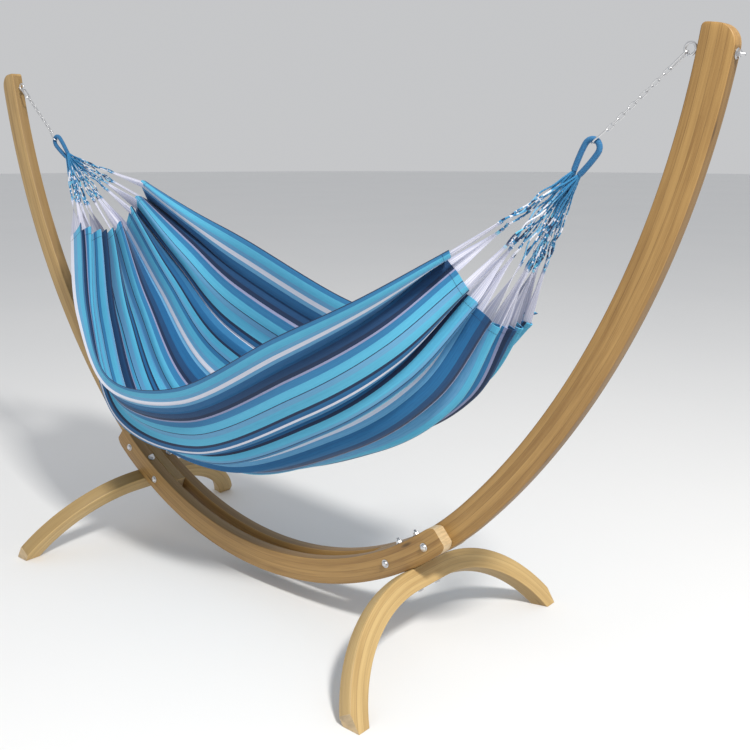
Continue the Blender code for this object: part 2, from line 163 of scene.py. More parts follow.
class Finish:
    """One material. Its nodes are added with node(), which returns a Term."""

    def __init__(self, name, roughness=0.6, metallic=0.0, **constants):
        self.material = bpy.data.materials.new(name)
        self.material.use_nodes = True
        self.tree = self.material.node_tree
        self.shader = self.tree.nodes["Principled BSDF"]
        self.set("Roughness", roughness)
        self.set("Metallic", metallic)
        for socket, value in constants.items():
            self.set(socket.replace("_", " ").title(), value)

    def put(self, socket, value):
        if isinstance(value, Term):
            self.tree.links.new(value.socket, socket)
        elif isinstance(value, (tuple, list)) and len(value) == 3 and socket.type == "RGBA":
            socket.default_value = (*value, 1)
        else:
            socket.default_value = value

    def set(self, name, value):
        self.put(self.shader.inputs[name], value)

    def node(self, kind, settings=None, values=(), output=0):
        made = self.tree.nodes.new(kind)
        for key, value in (settings or {}).items():
            if key == "stops":
                self.set_stops(made.color_ramp, value)
            else:
                setattr(made, key, value)
        pairs = values.items() if isinstance(values, dict) else enumerate(values)
        for key, value in pairs:
            self.put(made.inputs[key], value)
        return Term(self, made.outputs[output])

    def set_stops(self, ramp, stops):
        ramp.interpolation = stops[0]
        while len(ramp.elements) > 1:
            ramp.elements.remove(ramp.elements[-1])
        for k, (place, colour) in enumerate(stops[1]):
            stop = ramp.elements[0] if k == 0 else ramp.elements.new(place)
            stop.position = place
            stop.color = (*colour, 1)

    def attribute(self, name):
        """The three numbers that each point of the mesh carries under this name."""
        own = self.node("ShaderNodeAttribute", {"attribute_name": name}, output="Vector")
        split = self.tree.nodes.new("ShaderNodeSeparateXYZ")
        self.put(split.inputs[0], own)
        return [Term(self, split.outputs[k]) for k in range(3)]

    def point(self, x, y, z):
        return self.node("ShaderNodeCombineXYZ", values=(x, y, z))

    def noise(self, place, scale=1.0, detail=3.0, roughness=0.5):
        values = {"Vector": place, "Scale": scale, "Detail": detail, "Roughness": roughness}
        return self.node("ShaderNodeTexNoise", values=values)

    def between(self, value, low, high):
        """0 below low, 1 above high, and a smooth step from one to the other."""
        settings = {"interpolation_type": "SMOOTHSTEP"}
        return self.node("ShaderNodeMapRange", settings, {"Value": value, "From Min": low, "From Max": high})

    def mix(self, share, first, second, how="MIX"):
        settings = {"data_type": "RGBA", "blend_type": how}
        values = {"Factor": share}
        made = self.node("ShaderNodeMix", settings, values, output=2)
        self.put(made.socket.node.inputs[6], first)
        self.put(made.socket.node.inputs[7], second)
        return made

    def bump(self, height, distance, strength=1.0):
        values = {"Height": height, "Distance": distance, "Strength": strength}
        self.set("Normal", self.node("ShaderNodeBump", values=values))


print("Term and Finish are ready")

# %% [markdown]
# ## Floor finish
# The floor is a plain pale paint. A slow change of tone keeps it from looking like paper.

# %% Floor finish
pale = Finish("pale_floor", roughness=0.9)
floor_place = pale.node("ShaderNodeTexCoord", output="Object")
pale.set("Base Color", pale.mix(pale.noise(floor_place, 0.6), (0.80, 0.81, 0.82), (0.84, 0.845, 0.85)))
floor.data.materials.append(pale.material)
print("Floor painted")

# %% [markdown]
# ## Larch finish
# Each strip is several thin boards glued one on the other and bent. So the grain is worked out in
# the strip's own directions: along it, across it and in from its outer face. Every board has its
# own tone, long streaks of early and late wood, a few small knots, and a thin dark glue line
# where it meets the next. The cut ends are paler and show rings in place of streaks.

# %% Larch finish
BOARD = 0.0215
STREAKS = 42
FIBRES = 420
KNOT_RARITY = 0.55
GLUE_LINE = (0.006, 0.034)


def larch(name, pale_wood, dark_wood, end_wood, seed):
    wood = Finish(name, roughness=0.5, coat_weight=0.12, coat_roughness=0.35)
    along, across, depth = wood.attribute("grain")
    end = wood.node("ShaderNodeAttribute", {"attribute_name": "end"}, output="Fac")
    layer = (depth / BOARD).apply("FLOOR")
    tone = wood.node("ShaderNodeTexWhiteNoise", {"noise_dimensions": "1D"}, {"W": layer + seed})
    drift = wood.noise(wood.point(along * 2.2, across * 9, layer * 7.3 + seed), 1.0, 2.0)
    sway = along * 1.1 + drift * 0.5
    streak_place = wood.point(sway, across * STREAKS, depth * STREAKS + layer * 5.1 + seed)
    broad = wood.noise(streak_place, 1.0, 5.0, 0.62)
    fine = wood.noise(wood.point(along * 9, across * FIBRES, depth * FIBRES + seed), 1.0, 3.0, 0.6)
    streak = wood.between(broad * 0.75 + fine * 0.35, 0.36, 0.72)
    colour = wood.mix(streak, dark_wood, pale_wood)
    board_tone = wood.mix(tone * 0.22, colour, dark_wood)
    colour = wood.mix(wood.between(drift, 0.35, 0.75) * 0.3, board_tone, pale_wood)

    cells = {"Vector": wood.point(along * 3.4, across * 16, depth * 16 + layer * 3.7 + seed), "Scale": 1.0}
    near_knot = wood.node("ShaderNodeTexVoronoi", values=cells, output="Distance")
    lottery = wood.node("ShaderNodeTexVoronoi", values=cells, output="Color")
    drawn = wood.node("ShaderNodeSeparateColor", values=(lottery,)) > KNOT_RARITY
    knot = (1 - wood.between(near_knot, 0.035, 0.12)) * drawn
    halo = (1 - wood.between(near_knot, 0.10, 0.34)) * drawn
    colour = wood.mix(halo * 0.35, colour, dark_wood)
    colour = wood.mix(knot * 0.8, colour, tuple(c * 0.32 for c in dark_wood))

    seam = (depth / BOARD).apply("PINGPONG", 0.5)
    glue = (1 - wood.between(seam, *GLUE_LINE)) * 0.5
    colour = wood.mix(glue * (1 - end), colour, tuple(c * 0.45 for c in dark_wood))
    rings = wood.noise(wood.point(across * 30, depth * 160, seed), 1.0, 3.0)
    end_colour = wood.mix(wood.between(rings, 0.3, 0.7), tuple(c * 0.78 for c in end_wood), end_wood)
    wood.set("Base Color", wood.mix(end, colour, end_colour))
    wood.set("Roughness", 0.42 + fine * 0.22)
    wood.bump(broad * 0.5 + fine * 0.4 - glue * 0.8 - knot * 0.3, 0.0006, 0.7)
    return wood


END_GRAIN = (0.62, 0.46, 0.26)
larch_gold = larch("larch_gold", (0.45, 0.268, 0.088), (0.23, 0.118, 0.030), END_GRAIN, 3.0)
larch_honey = larch("larch_honey", (0.53, 0.352, 0.140), (0.30, 0.172, 0.055), END_GRAIN, 11.0)
larch_pale = larch("larch_pale", (0.60, 0.425, 0.185), (0.40, 0.255, 0.095), END_GRAIN, 23.0)
print("Three tones of larch")

# %% [markdown]
# ## Steel finish
# The bolts, nuts, chains and hooks are zinc-plated steel that has been handled and rained on:
# bright, a little cloudy, with fine scratches that only change how sharp its reflections are.

# %% Steel finish
steel = Finish("zinc_plated_steel", roughness=0.3, metallic=1.0)
steel_place = steel.node("ShaderNodeTexCoord", output="Object")
cloudy = steel.noise(steel_place, 90, 4.0)
scratched = steel.noise(steel_place, 900, 2.0)
steel.set("Base Color", steel.mix(cloudy, (0.56, 0.57, 0.60), (0.80, 0.80, 0.80)))
steel.set("Roughness", 0.20 + cloudy * 0.16 + scratched * 0.10)
steel.bump(scratched, 0.0001, 0.5)
print("Steel ready")

# %% [markdown]
# ## Making pieces from rings
# Almost everything here is a row of cross-sections joined by faces: a bent strip, a turned bolt,
# a wire, a cord. `Body` collects such rows and turns them into one mesh. It can also store three
# numbers at each point, which the wood, cloth and cord finishes read.

# %% Body
ACROSS = Vector((0, 1, 0))
SIDES = {"right": 1, "left": -1}


class Body:
    """Rows of rings, which become the mesh of one piece."""

    def __init__(self):
        self.points = []
        self.faces = []
        self.notes = []
        self.ends = set()

    def add(self, rings, closed=False, capped=True, notes=None):
        """Joins the rings in order. closed joins the last to the first, as in a link."""
        start, corners = len(self.points), len(rings[0])
        for ring in rings:
            self.points.extend(tuple(point) for point in ring)
        if notes is not None:
            for row in notes:
                self.notes.extend(tuple(note) for note in row)
        for a in range(len(rings) if closed else len(rings) - 1):
            b = (a + 1) % len(rings)
            for i in range(corners):
                j = (i + 1) % corners
                quad = (a * corners + i, a * corners + j, b * corners + j, b * corners + i)
                self.faces.append(tuple(start + corner for corner in quad))
        if capped and not closed:
            last = start + (len(rings) - 1) * corners
            self.ends.update((len(self.faces), len(self.faces) + 1))
            self.faces.append(tuple(start + i for i in reversed(range(corners))))
            self.faces.append(tuple(last + i for i in range(corners)))

    def mesh(self, name, note="grain"):
        mesh = bpy.data.meshes.new(name)
        mesh.from_pydata(self.points, [], self.faces)
        if self.notes:
            layer = mesh.attributes.new(note, "FLOAT_VECTOR", "POINT")
            layer.data.foreach_set("vector", np.array(self.notes, dtype=np.float32).ravel())
        ends = mesh.attributes.new("end", "FLOAT", "FACE")
        values = np.zeros(len(self.faces), dtype=np.float32)
        values[list(self.ends)] = 1.0
        ends.data.foreach_set("value", values)
        return mesh


def finish_piece(mesh, finish, body, node, sharp=35):
    """Links the mesh, turns its faces out, and says what it rides on and stands for."""
    edit = bmesh.new()
    edit.from_mesh(mesh)
    bmesh.ops.recalc_face_normals(edit, faces=edit.faces[:])
    edit.to_mesh(mesh)
    edit.free()
    mesh.shade_smooth()
    mesh.set_sharp_from_angle(angle=math.radians(sharp))
    mesh.materials.append(finish.material)
    piece = bpy.data.objects.new(mesh.name, mesh)
    bpy.context.scene.collection.objects.link(piece)
    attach(piece, body)
    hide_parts(node)
    return piece


def finish_steel(mesh_body, node, body="stand", sharp=30):
    return finish_piece(mesh_body.mesh(node + "_steel"), steel, body, node, sharp)


print("Body is ready")

# %% [markdown]
# ## The stand's arc
# One side view rules the whole stand. The lower part is an arc, and past the bend it opens into
# a wider one, so that the arms rise steeply. A place on a strip is its angle from the lowest
# point, its depth in from the outer face, and how far it is across.

# %% The stand's arc
LOWER_RADIUS = 1.26
UPPER_RADIUS = 2.36
BEND_ANGLE = math.radians(46)
TONGUE_ANGLE = math.radians(25.5)
BEAM_END_ANGLE = math.radians(41)
TIP_ANGLE = math.radians(83)
GROUND_CLEARANCE = 0.062
WOOD_DEPTH = 0.086
WOOD_WIDTH = 0.042
FIT_GAP = 0.0004
RING_STEP = math.radians(0.75)
EDGE_ROUND = 0.0035


def arc_point(angle, depth):
    turn = abs(angle)
    upper = turn > BEND_ANGLE
    radius = UPPER_RADIUS if upper else LOWER_RADIUS
    shift = LOWER_RADIUS - UPPER_RADIUS if upper else 0.0
    x = shift * math.sin(BEND_ANGLE) + (radius - depth) * math.sin(turn)
    centre = GROUND_CLEARANCE + LOWER_RADIUS - shift * math.cos(BEND_ANGLE)
    return math.copysign(x, angle), centre - (radius - depth) * math.cos(turn)


def arc_frame(angle, across=0.0):
    """A frame on the outer face: Z points into the curve, X along it and Y across the stand."""
    x, z = arc_point(angle, 0.0)
    inward = Vector((-math.sin(angle), 0, math.cos(angle)))
    place = Matrix((ACROSS.cross(inward), ACROSS, inward)).transposed().to_4x4()
    place.translation = (x, across, z)
    return place


def arc_length(angle):
    turn = abs(angle)
    length = LOWER_RADIUS * min(turn, BEND_ANGLE) + UPPER_RADIUS * max(turn - BEND_ANGLE, 0)
    return math.copysign(length, angle)


def rounded_section(width, depth_from, depth_to, edge=EDGE_ROUND):
    """A strip's section with rounded edges, as (across, depth) pairs."""
    half = width / 2
    corners = (
        (half - edge, depth_from + edge, -90),
        (half - edge, depth_to - edge, 0),
        (-half + edge, depth_to - edge, 90),
        (-half + edge, depth_from + edge, 180),
    )
    section = []
    for across, depth, start in corners:
        for step in range(4):
            turn = math.radians(start + 30 * step)
            section.append((across + edge * math.cos(turn), depth + edge * math.sin(turn)))
    return section


def strip_ring(angle, across, depth_from=0.0, depth_to=WOOD_DEPTH, width=WOOD_WIDTH):
    ring, notes = [], []
    for y, depth in rounded_section(width, depth_from, depth_to):
        x, z = arc_point(angle, depth)
        ring.append((x, across + y, z))
        notes.append((arc_length(angle), across + y, depth))
    return ring, notes


def strip_mesh(node, rows):
    body = Body()
    body.add([ring for ring, notes in rows], notes=[notes for ring, notes in rows])
    return body.mesh(node + "_wood")


def angles_between(start, end):
    steps = max(1, round(abs(end - start) / RING_STEP))
    return [start + (end - start) * k / steps for k in range(steps + 1)]


print("Tip of the arms at", [round(value, 3) for value in arc_point(TIP_ANGLE, 0.0)])

# %% [markdown]
# ## Arms
# An arm starts as a tongue between the middle beams and ends in a tip whose outer corner is
# broadly rounded. It could be a curve with a bevel, but a row of sections keeps the depth in the
# wood known at every point, and the boards and glue lines need that depth.

# %% Arms
TIP_OUTER_ROUND = 0.05
TIP_INNER_ROUND = 0.012
CAP_STEPS = ((0.0030, 0.0), (0.0012, 0.0016), (0.0, 0.0034))


def rounding(distance, radius):
    """How far a rounded corner has cut in, at a distance back from the end."""
    if distance >= radius:
        return 0.0
    return radius - math.sqrt(radius**2 - (radius - distance) ** 2)


def add_arm(word, side, finish):
    rows = []
    for back, slim in reversed(CAP_STEPS):
        angle = TONGUE_ANGLE + back / LOWER_RADIUS
        rows.append(strip_ring(side * angle, 0.0, slim / 2, WOOD_DEPTH - slim / 2, WOOD_WIDTH - slim))
    rows += [strip_ring(side * a, 0.0) for a in angles_between(TONGUE_ANGLE + 0.01, BEND_ANGLE)]
    last = TIP_ANGLE - TIP_OUTER_ROUND / UPPER_RADIUS
    rows += [strip_ring(side * a, 0.0) for a in angles_between(BEND_ANGLE + 0.001, last)]
    backs = [TIP_OUTER_ROUND * (1 - math.sin(math.radians(9 * k))) for k in range(1, 10)]
    for back in backs + [CAP_STEPS[1][0], CAP_STEPS[2][0]]:
        slim = 2 * rounding(back, 0.003)
        outer = rounding(back, TIP_OUTER_ROUND)
        inner = WOOD_DEPTH - rounding(back, TIP_INNER_ROUND)
        angle = side * (TIP_ANGLE - back / UPPER_RADIUS)
        rows.append(strip_ring(angle, 0.0, outer, inner, WOOD_WIDTH - slim))
    node = "arm_" + word
    return finish_piece(strip_mesh(node, rows), finish, "stand", node)


for word, side in SIDES.items():
    arm = add_arm(word, side, larch_gold if word == "right" else larch_honey)
    print(arm.name, len(arm.data.vertices), "points")

# %% [markdown]
# ## Middle beams
# Two equal beams clasp the tongues of the arms. Their ends are rounded in side view, which bares
# a curved band of pale end grain beside each arm.

# %% Middle beams
BEAM_OFFSET = WOOD_WIDTH + FIT_GAP


def add_middle_beam(word, across):
    reach = WOOD_DEPTH / 2
    body_end = BEAM_END_ANGLE - reach / LOWER_RADIUS
    tips = []
    for share in (0.3, 0.5, 0.66, 0.8, 0.9, 0.96):
        inset = 0.5 * reach * (1 - math.sqrt(1 - share**2))
        tips.append((body_end + reach * share / LOWER_RADIUS, inset))
    rows = [strip_ring(-angle, across, inset, WOOD_DEPTH - inset) for angle, inset in reversed(tips)]
    rows += [strip_ring(angle, across) for angle in angles_between(-body_end, body_end)]
    rows += [strip_ring(angle, across, inset, WOOD_DEPTH - inset) for angle, inset in tips]
    node = "middle_beam_" + word
    mesh = strip_mesh(node, rows)
    for face in mesh.polygons:
        middle = mesh.attributes["grain"].data[face.vertices[0]].vector.x
        if abs(middle) > LOWER_RADIUS * (body_end + 0.004) and abs(face.normal.y) < 0.6:
            mesh.attributes["end"].data[face.index].value = 1.0
    return finish_piece(mesh, larch_gold, "stand", node)


for word, across in (("front", -BEAM_OFFSET), ("rear", BEAM_OFFSET)):
    beam = add_middle_beam(word, across)
    print(beam.name, len(beam.data.vertices), "points")

# %% [markdown]
# ## Feet
# A foot is an arch that stands square to the beams, so it leans outwards. It is flat where the
# beams sit on it. The arch is made longer than it needs to be, and then cut level with the floor
# and square at the toes, as a joiner would.

# %% Feet
FOOT_ANGLE = math.radians(32.5)
FOOT_REACH = 0.49
FOOT_SEAT = 0.07
FOOT_DEPTH = 0.066
FOOT_WIDTH = 0.05
FOOT_TOE = 0.505
FOOT_MIDDLE = FIT_GAP * 2 + FOOT_DEPTH / 2
FOOT_DROP = arc_point(FOOT_ANGLE, 0.0)[1] / math.cos(FOOT_ANGLE) - FOOT_MIDDLE
FOOT_RUN = FOOT_REACH - FOOT_SEAT
FOOT_RADIUS = (FOOT_RUN**2 + FOOT_DROP**2) / (2 * FOOT_DROP)
FOOT_STEPS = 26


def add_foot(word, side):
    place = arc_frame(side * FOOT_ANGLE)
    sweep = math.asin(FOOT_RUN / FOOT_RADIUS) + math.radians(9)
    turns = [sweep * k / FOOT_STEPS for k in range(FOOT_STEPS + 1)]
    stations = [(FOOT_SEAT + FOOT_RADIUS * math.sin(turn), turn) for turn in turns]
    stations = [(-y, -turn) for y, turn in reversed(stations)] + stations
    rings, notes = [], []
    for y, turn in stations:
        fall = FOOT_MIDDLE + FOOT_RADIUS * (1 - math.cos(turn))
        section = rounded_section(FOOT_WIDTH, -FOOT_DEPTH / 2, FOOT_DEPTH / 2)
        along = math.copysign(FOOT_SEAT, y) + FOOT_RADIUS * turn
        ring = [(x, y + d * math.sin(turn), d * math.cos(turn) - fall) for x, d in section]
        rings.append([place @ Vector(point) for point in ring])
        notes.append([(along, x, d + FOOT_DEPTH / 2 * side) for x, d in section])
    body = Body()
    body.add(rings, notes=notes)
    mesh = body.mesh(f"foot_{word}_wood")
    edit = bmesh.new()
    edit.from_mesh(mesh)
    cuts = [((0, 0, 0), (0, 0, 1)), ((0, FOOT_TOE, 0), (0, -1, 0)), ((0, -FOOT_TOE, 0), (0, 1, 0))]
    end = edit.faces.layers.float["end"]
    for point, kept in cuts:
        everything = edit.verts[:] + edit.edges[:] + edit.faces[:]
        bmesh.ops.bisect_plane(edit, geom=everything, plane_co=point, plane_no=kept, clear_inner=True)
        open_edges = [edge for edge in edit.edges if edge.is_boundary]
        for face in bmesh.ops.holes_fill(edit, edges=open_edges, sides=0)["faces"]:
            face[end] = 1.0
    edit.to_mesh(mesh)
    edit.free()
    return finish_piece(mesh, larch_pale, "stand", "foot_" + word)


for word, side in SIDES.items():
    foot = add_foot(word, side)
    print(foot.name, len(foot.data.vertices), "points")

# %% [markdown]
# ## Bolts and nuts
# Turned parts are profiles spun about an axis. The joint bolts have a domed head on a broad
# washer, and their thread shows where it comes through the nut at the back. The feet are held by
# hexagon bolts from below, whose nuts stand on top of the beams.

# %% Bolts and nuts
SHANK_RADIUS = 0.004
HEX_RADIUS = 0.0098
FLANGE_RADIUS = 0.0125
WASHER_RADIUS = 0.0135
DOME_RADIUS = 0.0103
JOINT_ANGLES = (math.radians(29), math.radians(37.5))
THREAD_SHOWING = 0.018
THREAD_PITCH = 0.00125
HOLLOW_CLEARANCE = 0.0004
PLAY = 0.0003
NUT_TOP = 0.0095


def circle(radius, height, corners):
    turns = [2 * math.pi * k / corners for k in range(corners)]
    return [Vector((radius * math.cos(turn), radius * math.sin(turn), height)) for turn in turns]


def thread(start, end):
    """The ridges of a thread between two heights, as a profile."""
    count = round(abs(end - start) / THREAD_PITCH)
    profile = []
    for k in range(count):
        foot = start + (end - start) * k / count
        crest = start + (end - start) * (k + 0.5) / count
        profile += [(SHANK_RADIUS - 0.0004, foot), (SHANK_RADIUS, crest)]
    return profile + [(SHANK_RADIUS - 0.0007, end)]


def turn_on(body, place, profile, corners):
    body.add([[place @ point for point in circle(r, h, corners)] for r, h in profile])


def add_turned(node, place, *parts):
    """A steel piece from (profile, corners) parts that share one axis."""
    body = Body()
    for profile, corners in parts:
        turn_on(body, place, profile, corners)
    return finish_steel(body, node)


def dome(radius, foot, height):
    """A domed head from its foot upwards."""
    angles = [math.radians(10 * k) for k in range(9)]
    return [(radius * math.cos(a), foot + height * math.sin(a)) for a in angles]


def nut_parts(seat):
    flange = [(0.0112, seat), (FLANGE_RADIUS, seat + 0.0005)]
    flange += [(FLANGE_RADIUS, seat + 0.0014), (0.0108, seat + 0.0021)]
    faces = [(HEX_RADIUS, seat + 0.0018), (HEX_RADIUS, NUT_TOP - 0.0011 + seat), (0.0083, NUT_TOP + seat)]
    collar = [(0.0064, NUT_TOP + seat - 0.0004), (0.0058, NUT_TOP + seat + 0.0004)]
    return (flange, 32), (faces, 6), (collar, 24)


def add_joint_bolt(word, number, angle):
    front = BEAM_OFFSET + WOOD_WIDTH / 2
    x, z = arc_point(angle, WOOD_DEPTH / 2)
    place = Matrix.Translation((x, -front, z)) @ Matrix.Rotation(math.pi / 2, 4, "X")
    washer = [(0.0128, PLAY), (WASHER_RADIUS, PLAY + 0.0004), (WASHER_RADIUS, 0.0018), (0.0128, 0.0022)]
    head = [(0.0100, 0.0021), (DOME_RADIUS, 0.0030)] + dome(DOME_RADIUS, 0.0034, 0.0064)
    exit_face = -2 * front
    shank = [(SHANK_RADIUS, PLAY), (SHANK_RADIUS, exit_face - 0.006)]
    shank += thread(exit_face - 0.007, exit_face - THREAD_SHOWING)
    node = f"joint_bolt_{word}_{number}"
    add_turned(node, place, (washer, 32), (head, 32), (shank, 20))
    back = Matrix.Translation((x, front, z)) @ Matrix.Rotation(-math.pi / 2, 4, "X")
    add_turned(f"joint_nut_{word}_{number}", back, *nut_parts(PLAY))


def add_foot_bolt(word, end, side, across):
    place = arc_frame(side * FOOT_ANGLE, across)
    seat = -(2 * FIT_GAP + FOOT_DEPTH + PLAY)
    washer = [(FLANGE_RADIUS, seat), (FLANGE_RADIUS, seat - 0.0016), (0.0115, seat - 0.0021)]
    head = [(HEX_RADIUS, seat - 0.0020), (HEX_RADIUS, seat - 0.0065), (0.0084, seat - 0.0075)]
    top = WOOD_DEPTH + THREAD_SHOWING
    shank = [(SHANK_RADIUS, seat), (SHANK_RADIUS, WOOD_DEPTH + 0.001)] + thread(WOOD_DEPTH + 0.002, top)
    add_turned(f"foot_bolt_{word}_{end}", place, (washer, 32), (head, 6), (shank, 20))
    add_turned(f"foot_nut_{word}_{end}", place, *nut_parts(WOOD_DEPTH + HOLLOW_CLEARANCE + PLAY))


for word, side in SIDES.items():
    for number, joint_angle in enumerate(JOINT_ANGLES, start=1):
        add_joint_bolt(word, number, side * joint_angle)
    for end, across in (("front", -BEAM_OFFSET), ("rear", BEAM_OFFSET)):
        add_foot_bolt(word, end, side, across)
print("Eight bolts and their nuts")

# %% [markdown]
# ## Eye bolts, chains and hooks
# All of these are bent from round rod, so one function sweeps a circle along a path. A link is two
# half circles joined by straight sides, and every second link is turned a quarter. The hook is an
# S: a small bow closed on the last link, and a large one that holds the rope eye.

# %% Wire
EYE_ANGLE = math.radians(81.5)
EYE_STANDOFF = 0.022
EYE_RING = 0.0135
EYE_WIRE = 0.0035


def wire_rings(path, radii, sides, closed, normal):
    """Circles square to a path that is nearly flat. normal points out of its plane."""
    path = [Vector(point) for point in path]
    rings = []
    for k, point in enumerate(path):
        before = path[k - 1] if closed or k > 0 else point
        after = path[(k + 1) % len(path)] if closed or k < len(path) - 1 else point
        ahead = (after - before).normalized()
        aside = ahead.cross(normal).normalized()
        upright = aside.cross(ahead)
        radius = float(radii[k]) if hasattr(radii, "__len__") else radii
        turns = [2 * math.pi * corner / sides for corner in range(sides)]
        rings.append([point + radius * (math.cos(a) * aside + math.sin(a) * upright) for a in turns])
    return rings


def add_wire(node, body_name, path, radii, sides, closed, normal):
    body = Body()
    body.add(wire_rings(path, radii, sides, closed, normal), closed=closed)
    return finish_steel(body, node, body_name, 50)


def add_eye_bolt(word, side):
    place = arc_frame(side * EYE_ANGLE)
    centre = place @ Vector((0, 0, WOOD_DEPTH + EYE_STANDOFF))
    turns = [2 * math.pi * k / 48 for k in range(48)]
    path = [centre + EYE_RING * Vector((math.cos(a), 0, math.sin(a))) for a in turns]
    body = Body()
    body.add(wire_rings(path, EYE_WIRE, 16, True, ACROSS), closed=True)
    top = WOOD_DEPTH + EYE_STANDOFF - EYE_RING
    shank = thread(-0.02, -0.001)[:-1] + [(SHANK_RADIUS, 0.002), (SHANK_RADIUS, WOOD_DEPTH + 0.001)]
    shank += [(0.0046, WOOD_DEPTH + 0.003), (0.0043, top)]
    turn_on(body, place, shank, 20)
    finish_steel(body, "eye_bolt_" + word, sharp=40)
    add_turned("eye_nut_" + word, place @ Matrix.Rotation(math.pi, 4, "X"), *nut_parts(PLAY))


for word, side in SIDES.items():
    add_eye_bolt(word, side)
print("Two eye bolts")

# %% Chains and hooks
LONG_LINK_WIRE = 0.0025
LONG_LINK_REACH = 0.0563
LONG_LINK_BOW = 0.0085
LINK_COUNT = 11
LINK_WIRE = 0.0016
LINK_REACH = 0.0221
LINK_BOW = 0.005
HOOK_WIRE = 0.00225
HOOK_SMALL_BOW = 0.0055
HOOK_LARGE_BOW = 0.0125
HOOK_TO_ROPE = 0.0120
LOOP_TIP = (1.212, 1.55)


def suspension(side):
    """Where the chain starts, its direction, and its length down to the rope loop."""
    centre = arc_frame(side * EYE_ANGLE) @ Vector((0, 0, WOOD_DEPTH + EYE_STANDOFF))
    target = Vector((side * LOOP_TIP[0], 0, LOOP_TIP[1]))
    along = (target - centre).normalized()
    start = centre + EYE_RING * along
    return start, along, (target - start).length


def stadium(start, along, reach, bow, plane_normal, points=11):
    """A chain link's centre line: two half circles joined by straight sides."""
    aside = along.cross(plane_normal).normalized()
    path = []
    for end, sign in ((0.0, -1), (reach, 1)):
        centre = start + along * (end + bow if sign < 0 else end - bow)
        for k in range(points):
            turn = math.pi * (k / (points - 1) - 0.5) * sign
            path.append(centre + bow * (sign * math.cos(turn) * along + math.sin(turn) * aside))
    return path


def hook_path(start, along, top, foot):
    small = start + along * (top + HOOK_SMALL_BOW)
    large = start + along * (foot - HOOK_LARGE_BOW)
    path = []
    for degrees in range(-35, 181, 9):
        turn = math.radians(degrees)
        path.append(small + HOOK_SMALL_BOW * (math.cos(turn) * ACROSS - math.sin(turn) * along))
    for degrees in range(180, -26, -9):
        turn = math.radians(degrees)
        path.append(large + HOOK_LARGE_BOW * (math.cos(turn) * ACROSS + math.sin(turn) * along))
    return path


def add_chain(word, side):
    start, along, length = suspension(side)
    flat = along.cross(ACROSS).normalized()
    body_name = "chain_" + word
    place = -(EYE_WIRE + LONG_LINK_WIRE + PLAY)
    path = stadium(start + along * place, along, LONG_LINK_REACH, LONG_LINK_BOW, flat)
    add_wire("long_link_" + word, body_name, path, LONG_LINK_WIRE, 12, True, flat)
    place += LONG_LINK_REACH - (LONG_LINK_WIRE + LINK_WIRE + PLAY)
    for k in range(LINK_COUNT):
        normal = ACROSS if k % 2 == 0 else flat
        path = stadium(start + along * place, along, LINK_REACH, LINK_BOW, normal)
        add_wire(f"chain_link_{word}_{k + 1:02d}", body_name, path, LINK_WIRE, 10, True, normal)
        place += LINK_REACH - (2 * LINK_WIRE + PLAY)
    place += LINK_WIRE - HOOK_WIRE
    path = hook_path(start, along, place, length + HOOK_TO_ROPE)
    radii = [HOOK_WIRE] * len(path)
    radii[0] = radii[-1] = HOOK_WIRE * 0.7
    add_wire("s_hook_" + word, body_name, path, radii, 14, False, flat)


for word, side in SIDES.items():
    add_chain(word, side)
print("Two chains of", LINK_COUNT, "small links")

# %% [markdown]
# ## The shape of the hanging cloth
# The cloth is one woven sheet, gathered at both ends. It hangs as a trough with a twist: the near
# edge is low on the left and high on the right, and the far edge does the reverse. Three smooth
# curves from hem to hem say this: the near edge, the keel along the bottom, and the far edge.

# %% The shape of the hanging cloth
CLOTH_NEAR = (
    (-0.90, -0.13, 1.22),
    (-0.75, -0.22, 0.93),
    (-0.50, -0.30, 0.725),
    (-0.05, -0.345, 0.775),
    (0.42, -0.36, 1.005),
    (0.72, -0.33, 1.155),
    (0.93, -0.24, 1.29),
)
CLOTH_KEEL = (
    (-0.90, 0.02, 1.19),
    (-0.78, 0.00, 0.88),
    (-0.52, -0.03, 0.54),
    (0.00, -0.03, 0.435),
    (0.50, 0.00, 0.60),
    (0.78, 0.02, 0.80),
    (0.93, 0.00, 1.05),
)
CLOTH_FAR = (
    (-0.90, 0.21, 1.37),
    (-0.66, 0.27, 1.26),
    (-0.40, 0.30, 1.168),
    (0.09, 0.30, 1.00),
    (0.45, 0.28, 0.95),
    (0.72, 0.25, 0.985),
    (0.93, 0.20, 1.07),
)
BELLY_AT_HEM = 0.015
BELLY_ADDED = 0.065


def smooth_between(points, shares):
    """Points on the smooth curve through the given points. The last axis holds X, Y and Z."""
    points = np.asarray(points, dtype=float)
    shares = np.clip(np.asarray(shares, dtype=float), 0, 1) * (len(points) - 1)
    i = np.minimum(shares.astype(int), len(points) - 2)
    t = (shares - i).reshape(-1, *([1] * (points.ndim - 1)))
    padded = np.concatenate(([2 * points[0] - points[1]], points, [2 * points[-1] - points[-2]]))
    a, b, c, d = (padded[i + k] for k in range(4))
    return 0.5 * (2 * b + (c - a) * t + (2 * a - 5 * b + 4 * c - d) * t**2 + (3 * b - a - 3 * c + d) * t**3)


def hanging_shape(alongs, arounds):
    """The cloth's shape without its gathers, as an array [along, around, XYZ]."""
    near, keel, far = (smooth_between(line, alongs) for line in (CLOTH_NEAR, CLOTH_KEEL, CLOTH_FAR))
    belly = (BELLY_AT_HEM + BELLY_ADDED * np.sin(np.pi * np.asarray(alongs)))[:, None]
    near_side = (near + keel) / 2 + belly * np.array([0, -1, -0.9])
    far_side = (far + keel) / 2 + belly * np.array([0, 1, -0.9])
    lines = np.stack([near, near_side, keel, far_side, far])
    return smooth_between(lines, arounds).transpose(1, 0, 2)


def lengths(points, axis):
    return np.linalg.norm(np.diff(points, axis=axis), axis=2).sum(axis=axis)


